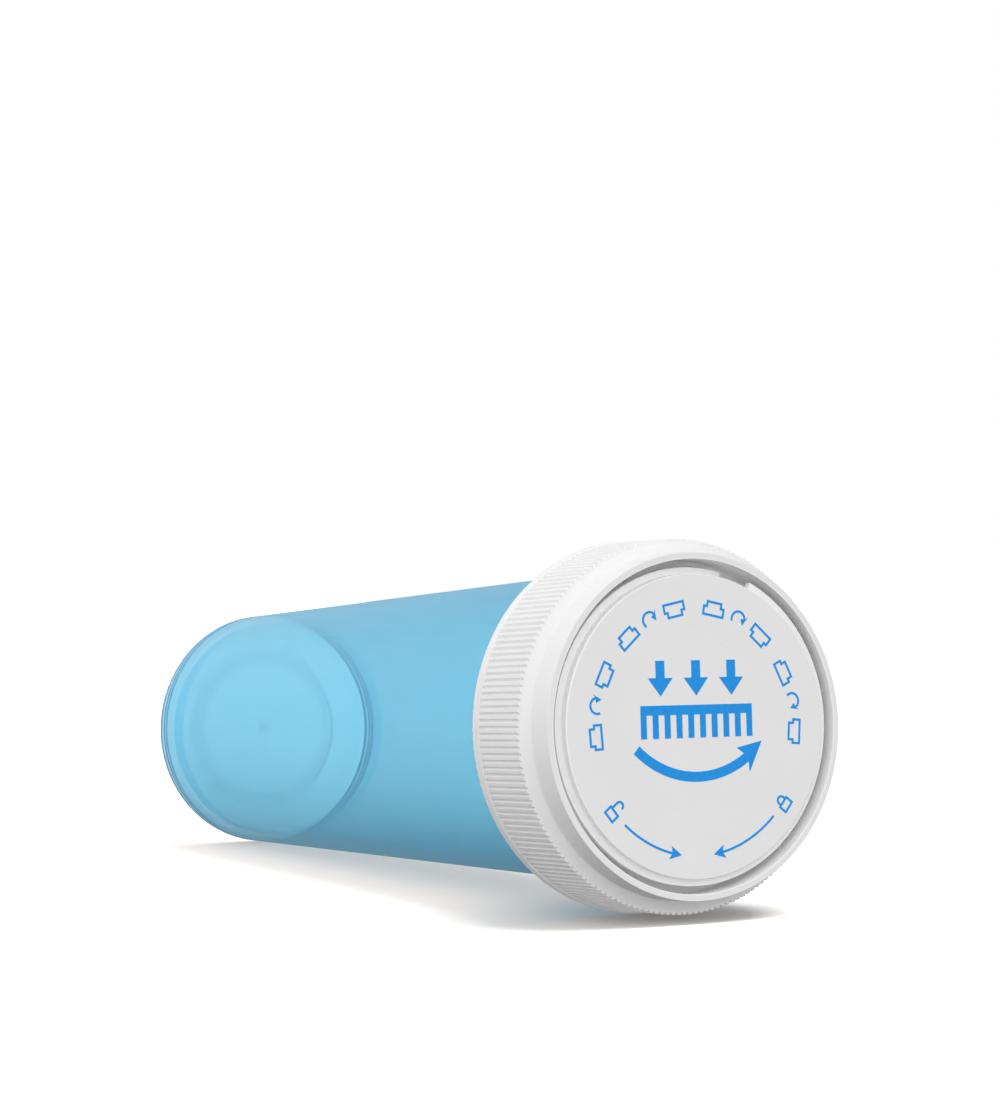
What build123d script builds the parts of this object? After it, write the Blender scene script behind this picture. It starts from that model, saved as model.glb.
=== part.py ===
"""Prescription vial with a child-resistant cap that can also be used upside down.

The vial stands upright: +Z runs from the base to the cap, and the origin is the centre of the base.
The cap is drawn pushed home with its lugs in the entry gaps between the lugs of the vial.
"""

from build123d import *
import math
import os

os.makedirs("parts", exist_ok=True)

# Overall sizes
TOTAL_HEIGHT = 102.4
CAP_HEIGHT = 11.9
CAP_RADIUS = 19.0
MOUTH_Z = 96.4

# Vial wall and base
BASE_RADIUS = 14.66
TAPER = 0.0167
WALL = 1.1
BASE_THICKNESS = 1.4
BASE_EDGE_RADIUS = 0.8
DISH_RADIUS = 9.8
DISH_STEP = 0.35
DISH_HEIGHT = 0.9
FLOOR_FILLET = 1.5
GATE_RADIUS = 0.9
GATE_LENGTH = 0.2

# Vial neck, hidden by the skirt
NECK_RADIUS = 16.45
NECK_BOTTOM_Z = 91.2
NECK_STEP = 0.5
BORE_RADIUS = 15.85
BORE_BOTTOM_Z = 91.5
BORE_SEAT = 0.5
MOUTH_EDGE = 0.2

# Bayonet: lugs on the neck, with an entry gap, a lock tooth, a notch and a stop for each cap lug
LUG_COUNT = 4
LUG_PITCH = 360 / LUG_COUNT
VIAL_LUG_RADIUS = 17.3
VIAL_LUG_TOP = 94.0
NOTCH_ROOF_Z = 93.2
TOOTH_BOTTOM_Z = 92.25
STOP_BOTTOM_Z = 91.3
ENTRY_HALF_ANGLE = 13
TOOTH_ANGLE = 15
NOTCH_ANGLE = 24
CAP_LUG_RADIUS = 16.7
CAP_LUG_BOTTOM = 90.9
CAP_LUG_HEIGHT = 1.2
CAP_LUG_ANGLE = 20

# Threads: the plug's ridge, and the ridge in the mouth that it meets when the cap is turned over
THREAD_PITCH = 1.25
THREAD_TURNS = 0.97
PLUG_THREAD_RADIUS = 15.77
MOUTH_THREAD_RADIUS = 15.3
MOUTH_THREAD_BOTTOM = 94.4
MOUTH_THREAD_TURN = 35
THREAD_START_ANGLE = 289
THREAD_ROOT = 1.0
THREAD_CREST = 0.6
THREAD_BITE = 0.2

# Cap, from the skirt up
SKIRT_INNER_RADIUS = 17.7
SKIRT_MOUTH_CHAMFER = 0.3
LIP_HEIGHT = 1.1
LIP_FILLET = 0.35
LIP_TOP_FILLET = 0.2
RIB_COUNT = 176
RIB_RADIUS = 18.75
RIB_DEPTH = 0.3
RIB_TIP_SHARE = 0.45
RIB_EDGE = 0.05
SHOULDER_Z = TOTAL_HEIGHT - 3.0
SHOULDER_EDGE_Z = SHOULDER_Z - 0.2
SHOULDER_THICKNESS = 1.4
RIM_OUTER_RADIUS = 17.22
RIM_INNER_RADIUS = 16.55
RIM_DRAFT = 0.09
RIM_FILLET = 0.04
GROOVE_FLOOR_Z = 98.6
WEB_THICKNESS = 1.0
WEB_OUTER_RADIUS = 16.9
PLUG_RADIUS = 15.1
PLUG_WALL = 1.15
FACE_Z = TOTAL_HEIGHT - 0.1
FACE_THICKNESS = 1.2
FACE_FILLET = 0.1
BEAD_RADIUS = 17.5
BEAD_BOTTOM_Z = 95.1
BEAD_HEIGHT = 0.6

# Inside the cap
LINER_RADIUS = 17.1
LINER_THICKNESS = 0.6
DISC_RADIUS = 17.6
FLANGE_THICKNESS = 0.5
FLANGE_INNER_RADIUS = 13.4
SPRING_THICKNESS = 0.6
SPRING_TOP_RADIUS = 5.0

SKIRT_BOTTOM_Z = TOTAL_HEIGHT - CAP_HEIGHT
LIP_TOP_Z = SKIRT_BOTTOM_Z + LIP_HEIGHT
CEILING_Z = GROOVE_FLOOR_Z - WEB_THICKNESS
PLUG_CEILING_Z = FACE_Z - FACE_THICKNESS
LINER_TOP_Z = MOUTH_Z + LINER_THICKNESS


def wall_radius(height):
    """Outer radius of the tapered wall at a height."""
    return BASE_RADIUS + TAPER * height


def corners(sketch, *points):
    """The corners of a half-section that lie at the given radius and height."""
    return [sketch.vertices().sort_by_distance(point)[0] for point in points]


def ring_sector(inner, outer, start, size, bottom, top):
    """A slice of a ring, from the angle start to start + size."""
    with BuildPart() as sector:
        with BuildSketch(Plane.XY.offset(bottom)):
            with BuildLine():
                outside = CenterArc((0, 0), outer, start, size)
                inside = CenterArc((0, 0), inner, start, size)
                Line(outside @ 0, inside @ 0)
                Line(outside @ 1, inside @ 1)
            make_face()
        extrude(amount=top - bottom)
    return sector.part


def thread_ridge(root_radius, crest_radius):
    """One helical ridge, starting on +X at height 0, that rises away from its root radius."""
    with BuildPart() as ridge:
        with BuildLine() as path:
            Helix(THREAD_PITCH, THREAD_PITCH * THREAD_TURNS, root_radius)
        with BuildSketch(Plane(path.line @ 0, x_dir=(1, 0, 0), z_dir=path.line % 0)):
            with BuildLine():
                rise = crest_radius - root_radius
                Polyline(
                    (0, THREAD_ROOT / 2),
                    (rise, THREAD_CREST / 2),
                    (rise, -THREAD_CREST / 2),
                    (0, -THREAD_ROOT / 2),
                    close=True,
                )
            make_face()
        sweep(is_frenet=True)
    return ridge.part


# Vial body: revolved wall and base
mouth_thread = thread_ridge(BORE_RADIUS + THREAD_BITE, MOUTH_THREAD_RADIUS)
seat_radius = wall_radius(BORE_BOTTOM_Z) - WALL
with BuildPart() as vial_body:
    with BuildSketch(Plane.XZ) as vial_section:
        with BuildLine():
            TangentArc((0, DISH_HEIGHT), (DISH_RADIUS, DISH_STEP), tangent=(1, 0))
            Polyline(
                (DISH_RADIUS, DISH_STEP),
                (DISH_RADIUS + DISH_STEP, 0),
                (BASE_RADIUS, 0),
                (wall_radius(NECK_BOTTOM_Z - NECK_STEP), NECK_BOTTOM_Z - NECK_STEP),
                (NECK_RADIUS, NECK_BOTTOM_Z),
                (NECK_RADIUS, MOUTH_Z),
                (BORE_RADIUS, MOUTH_Z),
                (BORE_RADIUS, BORE_BOTTOM_Z),
                (seat_radius, BORE_BOTTOM_Z - BORE_SEAT),
                (wall_radius(BASE_THICKNESS) - WALL, BASE_THICKNESS),
                (DISH_RADIUS + DISH_STEP, BASE_THICKNESS),
                (DISH_RADIUS, BASE_THICKNESS + DISH_STEP),
            )
            floor_top = (0, BASE_THICKNESS + DISH_HEIGHT)
            TangentArc(floor_top, (DISH_RADIUS, BASE_THICKNESS + DISH_STEP), tangent=(1, 0))
            Line(floor_top, (0, DISH_HEIGHT))
        make_face()
        fillet(corners(vial_section, (BASE_RADIUS, 0)), BASE_EDGE_RADIUS)
        floor_corner = (wall_radius(BASE_THICKNESS) - WALL, BASE_THICKNESS)
        fillet(corners(vial_section, floor_corner), FLOOR_FILLET)
        mouth_corners = corners(vial_section, (NECK_RADIUS, MOUTH_Z), (BORE_RADIUS, MOUTH_Z))
        fillet(mouth_corners, MOUTH_EDGE)
    revolve(axis=Axis.Z)
    # Gate mark in the middle of the dish
    with BuildSketch(Plane.XY.offset(DISH_HEIGHT - GATE_LENGTH)):
        Circle(GATE_RADIUS)
    extrude(amount=GATE_LENGTH * 2)
    # Bayonet lugs
    for lug in range(LUG_COUNT):
        entry = lug * LUG_PITCH - ENTRY_HALF_ANGLE
        stop = (lug - 1) * LUG_PITCH + ENTRY_HALF_ANGLE
        notch = entry - TOOTH_ANGLE - NOTCH_ANGLE
        root = NECK_RADIUS - THREAD_BITE
        add(ring_sector(root, VIAL_LUG_RADIUS, stop, entry - stop, NOTCH_ROOF_Z, VIAL_LUG_TOP))
        add(ring_sector(root, VIAL_LUG_RADIUS, stop, notch - stop, STOP_BOTTOM_Z, NOTCH_ROOF_Z))
        tooth = entry - TOOTH_ANGLE
        add(ring_sector(root, VIAL_LUG_RADIUS, tooth, TOOTH_ANGLE, TOOTH_BOTTOM_Z, NOTCH_ROOF_Z))
    # Thread in the mouth for the turned-over cap
    with Locations(Location((0, 0, MOUTH_THREAD_BOTTOM), (0, 0, MOUTH_THREAD_TURN))):
        add(mouth_thread)
vial_body.part.label = "vial_body"
export_step(vial_body.part, "parts/vial_body.step")

# Seal liner: a soft round wad on the mouth
with BuildPart() as seal_liner:
    with BuildSketch(Plane.XY.offset(MOUTH_Z)):
        Circle(LINER_RADIUS)
    extrude(amount=LINER_THICKNESS)
    chamfer(seal_liner.edges().group_by(Axis.Z)[-1], LINER_THICKNESS / 4)
seal_liner.part.label = "seal_liner"
export_step(seal_liner.part, "parts/seal_liner.step")

# Spring disc: a flat flange on the liner, and a cone that bears on the ceiling of the hollow plug
with BuildPart() as spring_disc:
    with BuildSketch(Plane.XZ) as disc_section:
        with BuildLine():
            Polyline(
                (0, PLUG_CEILING_Z - SPRING_THICKNESS),
                (SPRING_TOP_RADIUS - 0.2, PLUG_CEILING_Z - SPRING_THICKNESS),
                (FLANGE_INNER_RADIUS - 0.4, LINER_TOP_Z),
                (DISC_RADIUS, LINER_TOP_Z),
                (DISC_RADIUS, LINER_TOP_Z + FLANGE_THICKNESS),
                (FLANGE_INNER_RADIUS, LINER_TOP_Z + FLANGE_THICKNESS),
                (SPRING_TOP_RADIUS, PLUG_CEILING_Z),
                (0, PLUG_CEILING_Z),
                close=True,
            )
        make_face()
    revolve(axis=Axis.Z)
spring_disc.part.label = "spring_disc"
export_step(spring_disc.part, "parts/spring_disc.step")

# Ribbed band of the skirt
rib_angle = math.radians(360 / RIB_COUNT)
valley_radius = RIB_RADIUS - RIB_DEPTH
rib_points = []
for rib in range(RIB_COUNT):
    tip_turn = rib_angle * RIB_TIP_SHARE / 2
    for radius, turn in ((RIB_RADIUS, -tip_turn), (RIB_RADIUS, tip_turn), (valley_radius, rib_angle / 2)):
        angle = rib * rib_angle + turn
        rib_points.append((radius * math.cos(angle), radius * math.sin(angle)))
band_core_radius = SKIRT_INNER_RADIUS + 0.3
with BuildPart() as ribbed_band:
    with BuildSketch(Plane.XY.offset(LIP_TOP_Z)):
        with BuildLine():
            Polyline(*rib_points, close=True)
        make_face()
        Circle(band_core_radius, mode=Mode.SUBTRACT)
    extrude(amount=SHOULDER_EDGE_Z - LIP_TOP_Z)
    with BuildSketch(Plane.XZ):
        with BuildLine():
            Polyline(
                (0, LIP_TOP_Z),
                (RIB_RADIUS + RIB_EDGE, LIP_TOP_Z),
                (RIB_RADIUS + RIB_EDGE, SHOULDER_EDGE_Z - 2 * RIB_EDGE),
                (RIB_RADIUS - RIB_EDGE, SHOULDER_EDGE_Z),
                (0, SHOULDER_EDGE_Z),
                close=True,
            )
        make_face()
    revolve(axis=Axis.Z, mode=Mode.INTERSECT)

# Cap shell
plug_thread = thread_ridge(PLUG_RADIUS - THREAD_BITE, PLUG_THREAD_RADIUS)
thread_bottom = FACE_Z - THREAD_ROOT / 2 - THREAD_PITCH * THREAD_TURNS
thread_turn = THREAD_START_ANGLE - 360 * THREAD_TURNS
plug_inner_radius = PLUG_RADIUS - PLUG_WALL
with BuildPart() as cap_shell:
    with BuildSketch(Plane.XZ) as cap_section:
        with BuildLine():
            Polyline(
                (CAP_RADIUS, SKIRT_BOTTOM_Z),
                (CAP_RADIUS, LIP_TOP_Z),
                (valley_radius - 0.1, LIP_TOP_Z),
                (valley_radius - 0.1, SHOULDER_EDGE_Z),
                (RIM_OUTER_RADIUS + RIM_DRAFT, SHOULDER_Z),
                (RIM_OUTER_RADIUS, TOTAL_HEIGHT),
                (RIM_INNER_RADIUS, TOTAL_HEIGHT),
                (RIM_INNER_RADIUS, GROOVE_FLOOR_Z),
                (PLUG_RADIUS, GROOVE_FLOOR_Z),
                (PLUG_RADIUS, FACE_Z),
                (0, FACE_Z),
                (0, PLUG_CEILING_Z),
                (plug_inner_radius, PLUG_CEILING_Z),
                (plug_inner_radius, CEILING_Z),
                (WEB_OUTER_RADIUS, CEILING_Z),
                (WEB_OUTER_RADIUS, SHOULDER_Z - SHOULDER_THICKNESS),
                (SKIRT_INNER_RADIUS, SHOULDER_Z - SHOULDER_THICKNESS),
                (SKIRT_INNER_RADIUS, BEAD_BOTTOM_Z + BEAD_HEIGHT),
                (BEAD_RADIUS, BEAD_BOTTOM_Z + BEAD_HEIGHT / 2),
                (SKIRT_INNER_RADIUS, BEAD_BOTTOM_Z),
                (SKIRT_INNER_RADIUS, SKIRT_BOTTOM_Z + SKIRT_MOUTH_CHAMFER),
                (SKIRT_INNER_RADIUS + SKIRT_MOUTH_CHAMFER, SKIRT_BOTTOM_Z),
                close=True,
            )
        make_face()
        fillet(corners(cap_section, (CAP_RADIUS, SKIRT_BOTTOM_Z)), LIP_FILLET)
        fillet(corners(cap_section, (CAP_RADIUS, LIP_TOP_Z)), LIP_TOP_FILLET)
        rim_corners = corners(
            cap_section,
            (RIM_OUTER_RADIUS, TOTAL_HEIGHT),
            (RIM_INNER_RADIUS, TOTAL_HEIGHT),
            (RIM_OUTER_RADIUS + RIM_DRAFT, SHOULDER_Z),
        )
        fillet(rim_corners, RIM_FILLET)
        fillet(corners(cap_section, (PLUG_RADIUS, FACE_Z)), FACE_FILLET)
    revolve(axis=Axis.Z)
    add(ribbed_band.part)
    for lug in range(LUG_COUNT):
        start = lug * LUG_PITCH - CAP_LUG_ANGLE / 2
        lug_top = CAP_LUG_BOTTOM + CAP_LUG_HEIGHT
        lug_root = SKIRT_INNER_RADIUS + THREAD_BITE
        add(ring_sector(CAP_LUG_RADIUS, lug_root, start, CAP_LUG_ANGLE, CAP_LUG_BOTTOM, lug_top))
    with Locations(Location((0, 0, thread_bottom), (0, 0, thread_turn))):
        add(plug_thread)
cap_shell.part.label = "cap_shell"
export_step(cap_shell.part, "parts/cap_shell.step")
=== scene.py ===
import math

import bpy
import numpy as np
from mathutils import Matrix, Vector
from mathutils.geometry import tessellate_polygon


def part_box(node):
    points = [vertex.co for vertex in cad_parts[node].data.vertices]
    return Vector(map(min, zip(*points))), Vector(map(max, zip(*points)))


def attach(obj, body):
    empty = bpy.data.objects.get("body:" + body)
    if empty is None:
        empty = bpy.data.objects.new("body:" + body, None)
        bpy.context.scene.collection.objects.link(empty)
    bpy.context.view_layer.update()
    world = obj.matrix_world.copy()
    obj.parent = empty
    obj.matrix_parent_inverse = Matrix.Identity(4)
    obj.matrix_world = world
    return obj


# The vial stands upright in its own frame, with +Z from the base to the cap. In the picture it lies on its
# side, so the floor here is the plane that touches the skirt's lip and the edge of the base, and the camera
# is level with that floor. SIDE and UP are the right and the top of the print on the cap.
SIDE = Vector((-1, -1, 0)).normalized()
UP = Vector((1, -1, 0)).normalized()
OUT = Vector((0, 0, 1))
MM = 0.001

# Camera, from the middle of the cap's rim: along SIDE, UP and OUT, in metres
CAMERA_PLACE = (-0.15186, 0.00330, 0.22760)
CAMERA_AIM = (-0.01707, 0.01782, -0.00865)
CAMERA_LENS = 90.23
CAMERA_SENSOR = 36.0

# Vial plastic. A milk is how solid a face looks, from clear to painted, in these places: the wall, the
# base, the base's corner, a wall seen at a glance, the painted lines and rings of shade, and the inner
# faces.
# VIAL_SHADE is how solid the outer faces are to a light's shadow.
VIAL_MILK = 0.5
BASE_MILK = 0.32
CORNER_MILK = 0.35
GLANCE_MILK = 0.95
PAINTED_SHADE_MILK = 0.95
INNER_MILK = 0.03
VIAL_SHADE = 0.36
# The share of the surface's light that comes through from behind, how the clear share tints what is seen
# through the wall, through the thick part just above the base and in a shadow, and the colours of the
# surface and of its painted shade: the dark lines round the base's corner and the rings on the base
VIAL_GLOW = 0.3
VIAL_TINT = (0.70, 0.90, 0.97)
CORNER_TINT = (0.44, 0.77, 0.905)
SHADOW_TINT = (1.0, 0.925, 0.865)
VIAL_DEEP = (0.225, 0.685, 0.935)
VIAL_PALE = (0.240, 0.705, 0.955)
VIAL_PAINTED_SHADE = (0.04, 0.26, 0.54)
# Where the plastic changes: the middle of the wall, which leans out, and of the base, and where the base's
# corner and the neck begin and end
WALL_MIDDLE = 14.11 * MM
WALL_TAPER = 0.0167
BASE_MIDDLE = 1.2 * MM
CORNER_HEIGHT = (1.6 * MM, 2.6 * MM)
CORNER_RADIUS = (12.6 * MM, 13.4 * MM)
NECK_RANGE = (86 * MM, 91 * MM)
# Bands, each with its height or radius, half its width, and how far from its middle it has faded out: the
# painted dark lines round the base's corner, which stand for its edges seen refracted through the wall, the
# deeper tint above them, and the painted shade on the base, a ring where its dish steps and a dot in its
# middle. Then the strength of the painted lines and of the painted rings.
PAINTED_CORNER_LINES = (
    (0.9 * MM, 0.25 * MM, 0.45 * MM),
    (1.95 * MM, 0.2 * MM, 0.38 * MM),
    (2.7 * MM, 0.15 * MM, 0.32 * MM),
)
THICK_BAND = (4.2 * MM, 1.2 * MM, 1.6 * MM)
PAINTED_BASE_RINGS = ((9.4 * MM, 0.5 * MM, 1.3 * MM), (0.0, 0.5 * MM, 1.1 * MM))
PAINTED_LINE_SHADE = 0.88
PAINTED_RING_SHADE = 0.16
# How far a face is turned away, from 0 to 1, where it starts and ends to look more solid, and how soon
GLANCE = (0.5, 1.0)
GLANCE_POWER = 0.7

# Cap plastic, and the painted light in its groove, whose walls are coloured whiter to lift their shade: the
# band of radii that it fills, and its lowest point
CAP_DEEP = (0.895, 0.895, 0.895)
CAP_PALE = (0.915, 0.915, 0.915)
GROOVE_PAINTED_LIGHT = (0.98, 0.98, 0.98)
GROOVE = (15.83 * MM, 0.78 * MM, 0.9 * MM)
GROOVE_BOTTOM = 98.4 * MM

# The colours between which the other materials vary
DISC_COLOURS = ((0.74, 0.76, 0.74), (0.80, 0.81, 0.79))
LINER_COLOURS = ((0.76, 0.75, 0.71), (0.83, 0.82, 0.79))
INK_COLOURS = ((0.010, 0.315, 0.86), (0.022, 0.345, 0.90))
# The floor is a little warm, so that the blue light from the vial in its shadow looks grey; where lit it
# clips to white
FLOOR_COLOURS = ((0.885, 0.858, 0.83), (0.90, 0.873, 0.845))
PLASTIC_IOR = 1.49

# Light: how bright the studio looks, its mean brightness as a light, how that leans to one side, how far
# both ends of the axis exceed that mean, where it fades below, and the share that is left there. Directions
# are along SIDE, UP and OUT.
SKY_SEEN = 1.0
SKY_MEAN = 0.66
SKY_LEAN = (-0.355, 0.515, 0.22)
SKY_ENDS = 0.40
SKY_BELOW = (-0.8, 0.0)
SKY_BELOW_SHARE = 0.35
# A weak light from behind, on the cap alone
KICKER_FROM = (0.55, -0.50, -0.67)
KICKER_DISTANCE = 0.5
KICKER_SIZE = 0.5
KICKER_POWER = 0.7
# The floor, half its width across, and the light on it alone, from above
FLOOR_REACH = 4.0
FLOOR_SUN_FROM = (0.24, 0.94, 0.2)
FLOOR_SUN = 3.6
FLOOR_SUN_ANGLE = 40

# Print, in millimetres: its thin lines, the three arrows that press, the ribbed cap under them and the
# arrow that turns it, the ring of small caps, and the padlocks with their arrows. Angles are from SIDE,
# anticlockwise, in degrees.
THIN_LINE = 0.24
PRESS_ARROWS_X = (-4.2, 0, 4.2)
PRESS_ARROW = {"top": 6.5, "bottom": 3.0, "shaft": 1.05, "head": 2.9}
RIBBED_CAP = {"half_width": 6.6, "bottom": -1.15, "top": 2.1, "ribs": 10, "band": 0.95}
TURN_ARROW = {"middle": (0, 5.5), "radius": 10.5, "width": 1.0, "start": 227, "end": 317}
TURN_ARROW_HEAD = {"head_length": 2.5, "head_width": 2.9}
CAPS_RADIUS = 11.75
CAPS_GROUPS = (169.0, 116.5, 63.5, 11.0)
CAPS_SPREAD = 15
FLIP_ARROW = {"radius": 0.78, "start": 215, "end": -30, "head_length": 0.75, "head_width": 0.95}
SMALL_CAP_RIGHT = ((1.3, -0.75), (1.3, 0.3), (0.95, 0.3), (0.95, 0.8))
LOCK_BODY = ((-0.75, -0.95), (0.75, -0.95), (0.75, 0.15), (-0.75, 0.15))
SHACKLE_RADIUS = 0.52
SHACKLE_HEIGHT = 0.35
SHACKLE_LIFT = 0.45
OPEN_LOCK = {"angle": 219, "radius": 12.75}
SHUT_LOCK = {"angle": 322, "radius": 12.85}
LOCK_ARROWS = ((227, 260), (314, 277))
LOCK_ARROW = {"radius": 12.8, "head_length": 1.15, "head_width": 1.35}
# A straight arrow's head is this long for its width, and a curved one's barbs trail this far for the length
# of its head
STRAIGHT_HEAD = 0.62
CURVED_BARB = 0.18
# How far the printed face lies under the rim, and how far the ink reaches into the face and out of it
FACE_SINK = 0.1 * MM
INK_DEPTH = 0.01 * MM
INK_HEIGHT = 0.02 * MM

# The edge of the base is looked for below this height, and the floor's tilt is corrected this many times
BASE_EDGE_BELOW = 5 * MM
TILT_STEPS = 4

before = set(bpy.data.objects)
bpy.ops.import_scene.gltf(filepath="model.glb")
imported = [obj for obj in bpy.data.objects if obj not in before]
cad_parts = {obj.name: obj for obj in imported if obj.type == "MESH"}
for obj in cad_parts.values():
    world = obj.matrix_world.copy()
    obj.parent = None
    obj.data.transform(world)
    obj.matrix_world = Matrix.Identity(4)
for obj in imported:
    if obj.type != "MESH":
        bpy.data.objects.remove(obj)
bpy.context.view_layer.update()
RIM_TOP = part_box("cap_shell")[1].z
FACE_TOP = RIM_TOP - FACE_SINK


def place(side, up, out):
    """A point or direction from its parts along the print's right, the print's top and the axis."""
    return SIDE * side + UP * up + OUT * out


# ---------------------------------------------------------------- shader helpers


def node(tree, kind, inputs=None, **settings):
    """A shader node, with each input either linked to another node's output or set to a value."""
    made = tree.nodes.new(kind)
    for name, value in settings.items():
        setattr(made, name, value)
    for name, value in (inputs or {}).items():
        if isinstance(value, bpy.types.NodeSocket):
            tree.links.new(value, made.inputs[name])
        else:
            made.inputs[name].default_value = value
    return made


def new_material(name):
    """An empty node material, with its tree and its output node."""
    material = bpy.data.materials.new(name)
    material.use_nodes = True
    tree = material.node_tree
    tree.nodes.clear()
    return material, tree, node(tree, "ShaderNodeOutputMaterial")


def grain(tree, size, detail=2.0, stretch=(1, 1, 1)):
    """Noise from 0 to 1 in the piece's own coordinates, with features about size metres across."""
    where = node(tree, "ShaderNodeTexCoord").outputs["Object"]
    scaled = {"Vector": where, "Scale": [share / size for share in stretch]}
    mapped = node(tree, "ShaderNodeMapping", scaled).outputs["Vector"]
    inputs = {"Vector": mapped, "Scale": 1.0, "Detail": detail, "Roughness": 0.55}
    return node(tree, "ShaderNodeTexNoise", inputs).outputs["Fac"]


def spread(tree, value, low, high):
    """A noise value, which is mostly between 0.3 and 0.7, brought to the range from low to high."""
    inputs = {"Value": value, "From Min": 0.3, "From Max": 0.7, "To Min": low, "To Max": high}
    return node(tree, "ShaderNodeMapRange", inputs).outputs["Result"]


def blend_colour(tree, value, first, second):
    """The colour between two colours, of which each is a node's output or three numbers."""
    first, second = (c if isinstance(c, bpy.types.NodeSocket) else (*c, 1) for c in (first, second))
    return node(tree, "ShaderNodeMix", {0: value, 6: first, 7: second}, data_type="RGBA").outputs[2]


def relief(tree, height, strength, depth, under=None):
    """A bump whose height runs over depth metres, on top of another bump if one is given."""
    inputs = {"Height": height, "Strength": strength, "Distance": depth}
    if under is not None:
        inputs["Normal"] = under
    return node(tree, "ShaderNodeBump", inputs).outputs["Normal"]


def ramp(tree, value, low, high, at_low=0.0, at_high=1.0):
    """A value that runs smoothly from at_low to at_high as another runs from low to high."""
    inputs = {"Value": value, "From Min": low, "From Max": high, "To Min": at_low, "To Max": at_high}
    return node(tree, "ShaderNodeMapRange", inputs, interpolation_type="SMOOTHSTEP").outputs["Result"]


def maths(tree, operation, *values):
    """The result of a math node."""
    return node(tree, "ShaderNodeMath", dict(enumerate(values)), operation=operation).outputs["Value"]


def pulse(tree, value, middle, core, reach):
    """1 where a value is within core of the middle, and down to 0 at reach."""
    away = maths(tree, "ABSOLUTE", maths(tree, "SUBTRACT", value, middle))
    return ramp(tree, away, core, reach, at_low=1.0, at_high=0.0)


def towards(tree, value, share, goal):
    """A value moved by a share of the way to a goal."""
    return node(tree, "ShaderNodeMix", {0: share, 2: value, 3: goal}, data_type="FLOAT").outputs[0]


def radius_and_height(tree):
    """How far a point of a piece is from the axis, and how far up it."""
    where = node(tree, "ShaderNodeTexCoord").outputs["Object"]
    split = node(tree, "ShaderNodeSeparateXYZ", {"Vector": where})
    x, y, z = (split.outputs[axis] for axis in ("X", "Y", "Z"))
    across = node(tree, "ShaderNodeCombineXYZ", {"X": x, "Y": y}).outputs["Vector"]
    return node(tree, "ShaderNodeVectorMath", {0: across}, operation="LENGTH").outputs["Value"], z


def plastic(tree, colour, roughness, normal, more=None):
    """A Principled surface, with any more inputs that it needs."""
    inputs = {"Base Color": colour, "Roughness": roughness, "Normal": normal, **(more or {})}
    return node(tree, "ShaderNodeBsdfPrincipled", inputs).outputs[0]


def show(tree, output, shader):
    """Makes a shader the surface of a material or of the world."""
    tree.links.new(shader, output.inputs["Surface"])


# ---------------------------------------------------------------- materials


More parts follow.
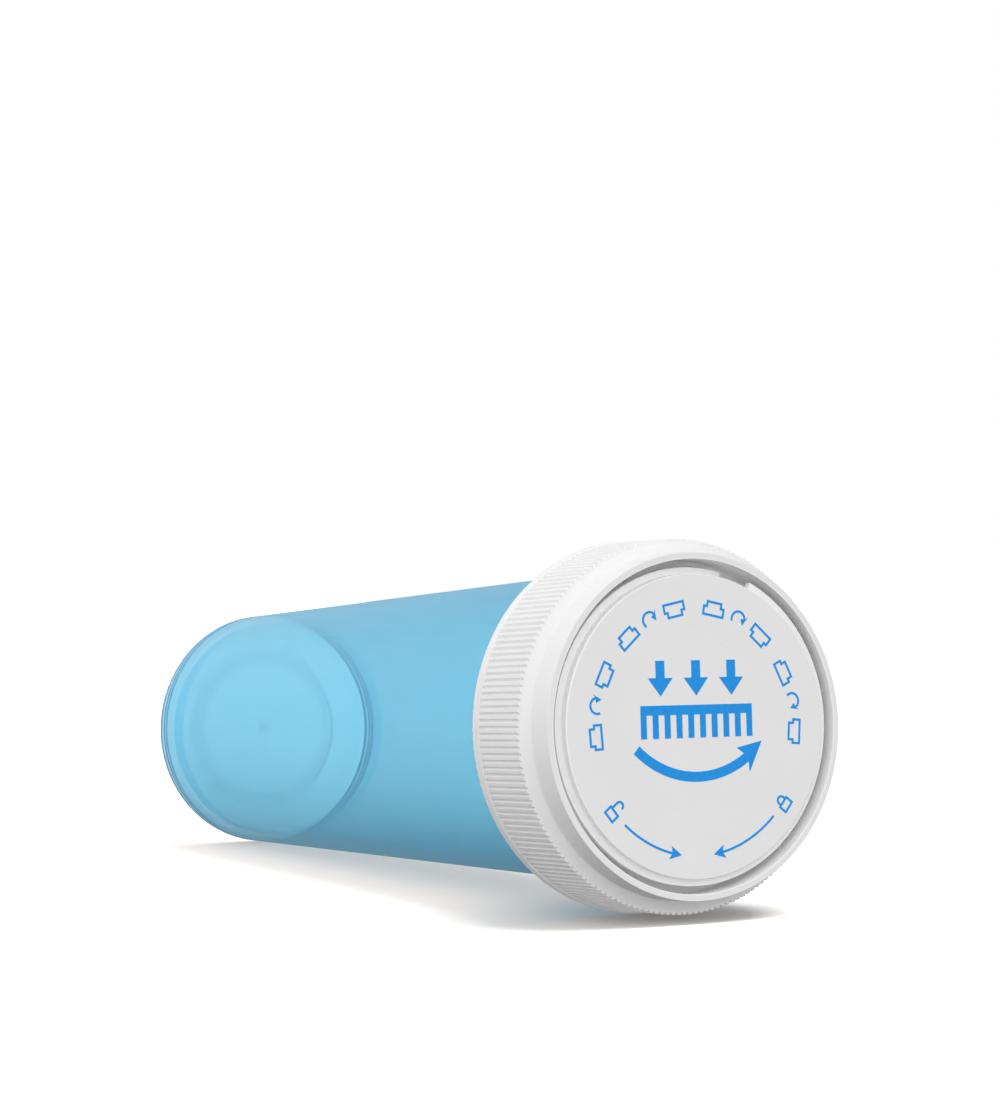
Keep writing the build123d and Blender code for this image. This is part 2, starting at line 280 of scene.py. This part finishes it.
def vial_plastic():
    """Translucent blue polypropylene: frosted, lit through, the base showing faintly through, with painted
    shade round and on the base.

    The milkiness is all in the outer face, so that every sight line crosses it once for each wall. It is
    lower on the base, and rises where the wall is seen at a glance and the sight line through it is longer.
    """
    material, tree, output = new_material("vial_blue_plastic")
    radius, z = radius_and_height(tree)

    inside = maths(tree, "LESS_THAN", radius, maths(tree, "MULTIPLY_ADD", z, WALL_TAPER, WALL_MIDDLE))
    inside = maths(tree, "MULTIPLY", inside, maths(tree, "GREATER_THAN", z, BASE_MIDDLE))
    below_neck = ramp(tree, z, *NECK_RANGE, at_low=1.0, at_high=0.0)
    inside = maths(tree, "MULTIPLY", inside, below_neck)
    edge = ramp(tree, radius, *CORNER_RADIUS)
    low = maths(tree, "LESS_THAN", z, BASE_MIDDLE)
    # Painted shade: a darker ring on the base where its dish steps, and a darker dot in its middle
    painted_rings = maths(tree, "MAXIMUM", *(pulse(tree, radius, *ring) for ring in PAINTED_BASE_RINGS))
    painted_rings = maths(tree, "MULTIPLY", maths(tree, "MULTIPLY", painted_rings, low), PAINTED_RING_SHADE)
    # Painted shade: dark lines round the base's corner, which stand for its edges seen refracted through the
    # wall
    painted_shade = 0.0
    for line in PAINTED_CORNER_LINES:
        painted_shade = maths(tree, "MAXIMUM", pulse(tree, z, *line), painted_shade)
    painted_shade = maths(tree, "MULTIPLY", maths(tree, "MULTIPLY", painted_shade, edge), PAINTED_LINE_SHADE)
    painted_shade = maths(tree, "MAXIMUM", painted_shade, painted_rings)

    milk = towards(tree, VIAL_MILK, low, BASE_MILK)
    below_corner = ramp(tree, z, *CORNER_HEIGHT, at_low=1.0, at_high=0.0)
    corner = maths(tree, "MULTIPLY", below_corner, edge)
    milk = towards(tree, milk, corner, CORNER_MILK)
    glance = ramp(tree, node(tree, "ShaderNodeLayerWeight", {"Blend": 0.5}).outputs["Facing"], *GLANCE)
    milk = towards(tree, milk, maths(tree, "POWER", glance, GLANCE_POWER), GLANCE_MILK)
    # The painted lines and rings of shade are nearly solid
    milk = towards(tree, milk, painted_shade, PAINTED_SHADE_MILK)
    milk = towards(tree, milk, inside, INNER_MILK)
    shadow = node(tree, "ShaderNodeLightPath").outputs["Is Shadow Ray"]
    milk = towards(tree, milk, shadow, towards(tree, VIAL_SHADE, inside, 0.0))

    cloud = grain(tree, 9 * MM, detail=3.0, stretch=(1, 1, 0.35))
    frost = grain(tree, 0.22 * MM)
    colour = blend_colour(tree, spread(tree, cloud, 0, 1), VIAL_DEEP, VIAL_PALE)
    # Painted shade: the lines and rings darken the colour
    colour = blend_colour(tree, painted_shade, colour, VIAL_PAINTED_SHADE)
    normal = relief(tree, frost, strength=0.25, depth=0.02 * MM)
    rough = spread(tree, frost, 0.30, 0.42)
    gloss = {"IOR": PLASTIC_IOR, "Specular IOR Level": 0.5}
    shell = plastic(tree, colour, rough, normal, gloss)
    glow = node(tree, "ShaderNodeBsdfTranslucent", {"Color": colour, "Normal": normal})
    lit = node(tree, "ShaderNodeMixShader", {0: VIAL_GLOW, 1: shell, 2: glow.outputs[0]})
    thick = maths(tree, "MULTIPLY", pulse(tree, z, *THICK_BAND), edge)
    tint = blend_colour(tree, thick, VIAL_TINT, CORNER_TINT)
    tint = blend_colour(tree, shadow, tint, SHADOW_TINT)
    clear = node(tree, "ShaderNodeBsdfTransparent", {"Color": tint})
    mixed = node(tree, "ShaderNodeMixShader", {0: milk, 1: clear.outputs[0], 2: lit.outputs[0]})
    show(tree, output, mixed.outputs[0])
    return material


def cap_plastic():
    """White polypropylene with the fine grain of its mould, and painted light in the groove: its walls are
    coloured whiter to lift their shade, for the light that comes through their thin plastic.
    """
    material, tree, output = new_material("cap_white_plastic")
    cloud = grain(tree, 6 * MM, detail=3.0)
    fine = grain(tree, 0.2 * MM)
    coarse = grain(tree, 0.5 * MM)
    radius, z = radius_and_height(tree)
    # Painted light: the groove's walls are coloured whiter, which lifts the shade in the groove
    above = maths(tree, "GREATER_THAN", z, GROOVE_BOTTOM)
    groove = maths(tree, "MULTIPLY", pulse(tree, radius, *GROOVE), above)
    colour = blend_colour(tree, spread(tree, cloud, 0, 1), CAP_DEEP, CAP_PALE)
    colour = blend_colour(tree, groove, colour, GROOVE_PAINTED_LIGHT)
    normal = relief(tree, coarse, strength=0.25, depth=0.03 * MM)
    normal = relief(tree, fine, strength=0.6, depth=0.03 * MM, under=normal)
    rough = spread(tree, fine, 0.42, 0.56)
    show(tree, output, plastic(tree, colour, rough, normal, {"IOR": PLASTIC_IOR}))
    return material


def disc_plastic():
    """Natural polypropylene, milky and waxy, of the springy disc inside the cap."""
    material, tree, output = new_material("disc_natural_plastic")
    cloud = grain(tree, 3 * MM, detail=3.0)
    fine = grain(tree, 0.3 * MM)
    colour = blend_colour(tree, spread(tree, cloud, 0, 1), *DISC_COLOURS)
    normal = relief(tree, fine, strength=0.3, depth=0.02 * MM)
    rough = spread(tree, fine, 0.3, 0.42)
    waxy = {"Subsurface Weight": 0.2, "Subsurface Scale": 0.5 * MM}
    show(tree, output, plastic(tree, colour, rough, normal, waxy))
    return material


def liner_foam():
    """Closed-cell foam of the sealing liner: a matt skin with small pits."""
    material, tree, output = new_material("liner_white_foam")
    where = node(tree, "ShaderNodeTexCoord").outputs["Object"]
    cells = node(tree, "ShaderNodeTexVoronoi", {"Vector": where, "Scale": 1 / (0.3 * MM)})
    fine = grain(tree, 0.4 * MM, detail=3.0)
    colour = blend_colour(tree, spread(tree, fine, 0, 1), *LINER_COLOURS)
    normal = relief(tree, cells.outputs["Distance"], strength=0.4, depth=0.06 * MM)
    rough = spread(tree, fine, 0.75, 0.9)
    show(tree, output, plastic(tree, colour, rough, normal))
    return material


def print_ink():
    """Blue pad-printing ink, flat and slightly mottled."""
    material, tree, output = new_material("print_blue_ink")
    mottle = grain(tree, 0.35 * MM, detail=3.0)
    fine = grain(tree, 0.1 * MM)
    colour = blend_colour(tree, spread(tree, mottle, 0, 1), *INK_COLOURS)
    normal = relief(tree, fine, strength=0.3, depth=0.01 * MM)
    rough = spread(tree, fine, 0.5, 0.62)
    matt = {"Specular IOR Level": 0.2}
    show(tree, output, plastic(tree, colour, rough, normal, matt))
    return material


def floor_paint():
    """Pale matt floor, seen only from its upper side."""
    material, tree, output = new_material("floor_paint")
    colour = blend_colour(tree, grain(tree, 40 * MM, detail=3.0), *FLOOR_COLOURS)
    inputs = {"Base Color": colour, "Roughness": 0.9, "Specular IOR Level": 0.0}
    paint = node(tree, "ShaderNodeBsdfPrincipled", inputs).outputs[0]
    clear = node(tree, "ShaderNodeBsdfTransparent").outputs[0]
    below = node(tree, "ShaderNodeNewGeometry").outputs["Backfacing"]
    show(tree, output, node(tree, "ShaderNodeMixShader", {0: below, 1: paint, 2: clear}).outputs[0])
    return material


# ---------------------------------------------------------------- the print on the cap


def arc(middle, radius, start, end, steps=24):
    """Points along an arc, from one angle to another in degrees."""
    angles = [math.radians(start + (end - start) * i / steps) for i in range(steps + 1)]
    return [(middle[0] + radius * math.cos(a), middle[1] + radius * math.sin(a)) for a in angles]


def curved_arrow(middle, radius, width, start, end, head_length, head_width):
    """Outline of an arrow whose shaft is an arc from start to the head, with its tip at end."""
    turn = 1 if end > start else -1
    neck = end - turn * math.degrees(head_length / radius)
    barb = neck - turn * math.degrees(CURVED_BARB * head_length / radius)

    def at(r, angle):
        return arc(middle, r, angle, angle, steps=1)[0]

    outer = arc(middle, radius + width / 2, start, neck)
    inner = arc(middle, radius - width / 2, neck, start)
    head = [at(radius + head_width / 2, barb), at(radius, end), at(radius - head_width / 2, barb)]
    return outer + head + inner


def down_arrow(x, top, bottom, shaft, head):
    """Outline of a straight arrow that points down."""
    neck = bottom + STRAIGHT_HEAD * head
    return [
        (x - shaft / 2, top),
        (x - shaft / 2, neck),
        (x - head / 2, neck),
        (x, bottom),
        (x + head / 2, neck),
        (x + shaft / 2, neck),
        (x + shaft / 2, top),
    ]


def ribbed_cap(half_width, bottom, top, ribs, band):
    """Outline of a cap from the side: a band across the top, with ribs hanging from it."""
    points = [(-half_width, top)]
    rib = 2 * half_width / (2 * ribs - 1)
    for i in range(ribs):
        left = -half_width + 2 * i * rib
        points += [(left, bottom), (left + rib, bottom)]
        if i < ribs - 1:
            points += [(left + rib, top - band), (left + 2 * rib, top - band)]
    return points + [(half_width, top)]


def inset(points, width):
    """The outline moved inwards, with mitred corners. The points run anticlockwise."""
    moved = []
    for before, here, after in zip(points[-1:] + points[:-1], points, points[1:] + points[:1]):
        first = Vector((here[0] - before[0], here[1] - before[1])).normalized()
        second = Vector((after[0] - here[0], after[1] - here[1])).normalized()
        normals = Vector((-first.y - second.y, first.x + second.x))
        step = width * 2 / normals.length_squared
        moved.append((here[0] + normals.x * step, here[1] + normals.y * step))
    return moved


def small_cap():
    """A small cap from the side, drawn in line, with its plug upwards."""
    left = [(-x, y) for x, y in SMALL_CAP_RIGHT]
    outside = [left[0], *SMALL_CAP_RIGHT, *left[:0:-1]]
    return [[outside, inset(outside, THIN_LINE)]]


def padlock(open_by):
    """A small padlock drawn in line, shut, or with its shackle lifted by open_by."""
    body = list(LOCK_BODY)
    foot = body[-1][1]
    inner_radius = SHACKLE_RADIUS - THIN_LINE
    outer = arc((0, SHACKLE_HEIGHT + open_by), SHACKLE_RADIUS, 0, 180, steps=12)
    inner = arc((0, SHACKLE_HEIGHT + open_by), inner_radius, 180, 0, steps=12)
    if not open_by:
        outside = body[:3] + [(SHACKLE_RADIUS, foot)] + outer + [(-SHACKLE_RADIUS, foot)] + body[3:]
        hole = [(inner_radius, foot)] + inner[::-1] + [(-inner_radius, foot)]
        return [[outside, hole, inset(body, THIN_LINE)]]
    outside = body[:3] + [(-inner_radius, foot)] + inner + outer + [(-SHACKLE_RADIUS, foot)] + body[3:]
    return [[outside, inset(body, THIN_LINE)]]


def moved(shapes, angle, radius, flip=False):
    """Shapes moved out to a radius at an angle, with their tops outwards, or inwards if flipped."""
    turn = math.radians(angle + (90 if flip else -90))
    middle = Vector((radius * math.cos(math.radians(angle)), radius * math.sin(math.radians(angle))))
    spin = Matrix.Rotation(turn, 2)
    return [[[tuple(spin @ Vector(p) + middle) for p in loop] for loop in shape] for shape in shapes]


def print_shapes():
    """Every mark of the print as a list of closed loops in millimetres, outline first and then holes."""
    marks = [[down_arrow(x, **PRESS_ARROW)] for x in PRESS_ARROWS_X]
    marks.append([ribbed_cap(**RIBBED_CAP)])
    marks.append([curved_arrow(**TURN_ARROW, **TURN_ARROW_HEAD)])
    flip = [[curved_arrow((0, 0), width=THIN_LINE, **FLIP_ARROW)]]
    upturned = [[[(x, -y) for x, y in loop] for loop in shape] for shape in small_cap()]
    for group in CAPS_GROUPS:
        marks += moved(small_cap(), group + CAPS_SPREAD, CAPS_RADIUS)
        marks += moved(flip, group, CAPS_RADIUS)
        marks += moved(upturned, group - CAPS_SPREAD, CAPS_RADIUS)
    marks += moved(padlock(SHACKLE_LIFT), **OPEN_LOCK, flip=True)
    marks += moved(padlock(0.0), **SHUT_LOCK, flip=True)
    for start, end in LOCK_ARROWS:
        marks.append([curved_arrow((0, 0), width=THIN_LINE, start=start, end=end, **LOCK_ARROW)])
    return marks


def signed_area(loop):
    """Twice the area inside a loop, above 0 when it runs anticlockwise."""
    return sum(a[0] * b[1] - b[0] * a[1] for a, b in zip(loop, loop[1:] + loop[:1]))


def cap_print():
    """The print as a thin closed layer of ink on the cap's face."""
    low, high = FACE_TOP - INK_DEPTH, FACE_TOP + INK_HEIGHT
    points, faces = [], []
    for shape in print_shapes():
        loops = [loop if (signed_area(loop) > 0) == (i == 0) else loop[::-1] for i, loop in enumerate(shape)]
        count = sum(len(loop) for loop in loops)
        start = len(points)
        flat = [p for loop in loops for p in loop]
        points += [place(x * MM, y * MM, low) for x, y in flat]
        points += [place(x * MM, y * MM, high) for x, y in flat]
        for triangle in tessellate_polygon([[Vector((x, y, 0)) for x, y in loop] for loop in loops]):
            a, b, c = triangle if signed_area([flat[i] for i in triangle]) > 0 else triangle[::-1]
            faces += [(start + c, start + b, start + a)]
            faces += [(start + count + a, start + count + b, start + count + c)]
        first = start
        for loop in loops:
            for i in range(len(loop)):
                here, after = first + i, first + (i + 1) % len(loop)
                faces.append((here, after, after + count, here + count))
            first += len(loop)
    mesh = bpy.data.meshes.new("cap_print")
    mesh.from_pydata(points, [], faces)
    mesh.validate()
    piece = bpy.data.objects.new("cap_print", mesh)
    bpy.context.scene.collection.objects.link(piece)
    mesh.materials.append(print_ink())
    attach(piece, "cap")


# ---------------------------------------------------------------- floor, light and camera


def touching(node_name, below):
    """Radius and height of the points of a CAD node that are below a height."""
    points = np.array([v.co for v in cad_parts[node_name].data.vertices])
    points = points[points[:, 2] < below]
    return np.column_stack((np.hypot(points[:, 0], points[:, 1]), points[:, 2]))


def lying_plane():
    """Where the lying vial touches the floor, and the floor's normal, from the lip and the base's edge."""
    lip = touching("cap_shell", RIM_TOP)
    edge = touching("vial_body", BASE_EDGE_BELOW)
    tilt = 0.0
    for _ in range(TILT_STEPS):
        across, along = math.cos(tilt), -math.sin(tilt)
        lip_touch = lip[np.argmax(lip @ (across, along))]
        edge_touch = edge[np.argmax(edge @ (across, along))]
        tilt = math.atan2(lip_touch[0] - edge_touch[0], lip_touch[1] - edge_touch[1])
    normal = place(0, math.cos(tilt), math.sin(tilt))
    return place(0, -lip_touch[0], lip_touch[1]), normal


def add_floor(middle, normal):
    """A wide flat floor with its upper side towards the vial, which throws no light or shadow on it."""
    along = OUT.cross(normal).normalized()
    across = normal.cross(along)
    signs = ((-1, -1), (1, -1), (1, 1), (-1, 1))
    corners = [middle + FLOOR_REACH * (along * x + across * y) for x, y in signs]
    mesh = bpy.data.meshes.new("floor")
    mesh.from_pydata(corners, [], [(0, 1, 2, 3)])
    floor = bpy.data.objects.new("floor", mesh)
    bpy.context.scene.collection.objects.link(floor)
    mesh.materials.append(floor_paint())
    floor.visible_diffuse = False
    floor.visible_glossy = False
    floor.visible_transmission = False
    floor.visible_shadow = False
    return floor


def turned_to(direction, up):
    """A rotation that points -Z along a direction, with Y as near up as it goes."""
    right = direction.cross(up).normalized()
    top = right.cross(direction)
    return Matrix((right, top, -direction)).transposed()


def add_camera(up):
    """The camera, level with the floor."""
    rim = OUT * RIM_TOP
    data = bpy.data.cameras.new("camera")
    data.lens = CAMERA_LENS
    data.sensor_width = CAMERA_SENSOR
    data.clip_start = 10 * MM
    camera = bpy.data.objects.new("camera", data)
    where, aim = rim + place(*CAMERA_PLACE), rim + place(*CAMERA_AIM)
    turn = turned_to((aim - where).normalized(), up)
    camera.matrix_world = Matrix.Translation(where) @ turn.to_4x4()
    bpy.context.scene.collection.objects.link(camera)
    bpy.context.scene.camera = camera


def light_only(light, piece):
    """Keeps a light to one piece."""
    lit = bpy.data.collections.new("lit_by_" + light.name)
    lit.objects.link(piece)
    light.light_linking.receiver_collection = lit


def add_softbox(name, where, aim, size, power):
    """A square area light at a point, aimed at another."""
    data = bpy.data.lights.new(name, "AREA")
    data.size = size
    data.energy = power
    light = bpy.data.objects.new(name, data)
    direction = (aim - where).normalized()
    light.matrix_world = Matrix.Translation(where) @ turned_to(direction, SIDE).to_4x4()
    bpy.context.scene.collection.objects.link(light)
    return light


def add_floor_light(floor):
    """A soft light from above that lights only the floor."""
    data = bpy.data.lights.new("floor_light", "SUN")
    data.energy = FLOOR_SUN
    data.angle = math.radians(FLOOR_SUN_ANGLE)
    light = bpy.data.objects.new("floor_light", data)
    light.matrix_world = turned_to(-place(*FLOOR_SUN_FROM).normalized(), SIDE).to_4x4()
    bpy.context.scene.collection.objects.link(light)
    light_only(light, floor)


def add_sky():
    """A plain white studio all round, which lights the vial more from some sides than from others."""
    world = bpy.data.worlds.new("studio")
    world.use_nodes = True
    tree = world.node_tree
    tree.nodes.clear()
    direction = node(tree, "ShaderNodeTexCoord").outputs["Generated"]

    def along(vector):
        inputs = {0: direction, 1: vector}
        return node(tree, "ShaderNodeVectorMath", inputs, operation="DOT_PRODUCT").outputs["Value"]

    # 1.5 times the squared cosine, less 0.5, is 1 at both ends of the axis and 0 on average.
    ends = maths(tree, "MULTIPLY", maths(tree, "POWER", along(OUT), 2.0), 1.5 * SKY_ENDS)
    lean = maths(tree, "ADD", along(place(*SKY_LEAN)), SKY_MEAN - 0.5 * SKY_ENDS)
    lit = maths(tree, "MAXIMUM", maths(tree, "ADD", ends, lean), 0.0)
    fade = ramp(tree, along(UP), *SKY_BELOW, at_low=SKY_BELOW_SHARE)
    lit = maths(tree, "MULTIPLY", lit, fade)
    path = node(tree, "ShaderNodeLightPath")
    choice = {"Value": path.outputs["Is Camera Ray"], "To Min": lit, "To Max": SKY_SEEN}
    strength = node(tree, "ShaderNodeMapRange", choice).outputs["Result"]
    sky = node(tree, "ShaderNodeBackground", {"Color": (1, 1, 1, 1), "Strength": strength})
    show(tree, node(tree, "ShaderNodeOutputWorld"), sky.outputs[0])
    bpy.context.scene.world = world


def dress(node_name, material):
    """Gives a CAD node its material."""
    for material_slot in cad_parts[node_name].material_slots:
        material_slot.material = material


dress("vial_body", vial_plastic())
dress("cap_shell", cap_plastic())
dress("spring_disc", disc_plastic())
dress("seal_liner", liner_foam())
cap_print()

floor_middle, floor_normal = lying_plane()
floor = add_floor(floor_middle, floor_normal)
add_floor_light(floor)
add_camera(floor_normal)
add_sky()
middle = OUT * (RIM_TOP / 2)
kicker_place = middle + place(*KICKER_FROM) * KICKER_DISTANCE
kicker = add_softbox("kicker", kicker_place, middle, KICKER_SIZE, KICKER_POWER)
light_only(kicker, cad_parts["cap_shell"])
bpy.context.scene.view_settings.view_transform = "Standard"
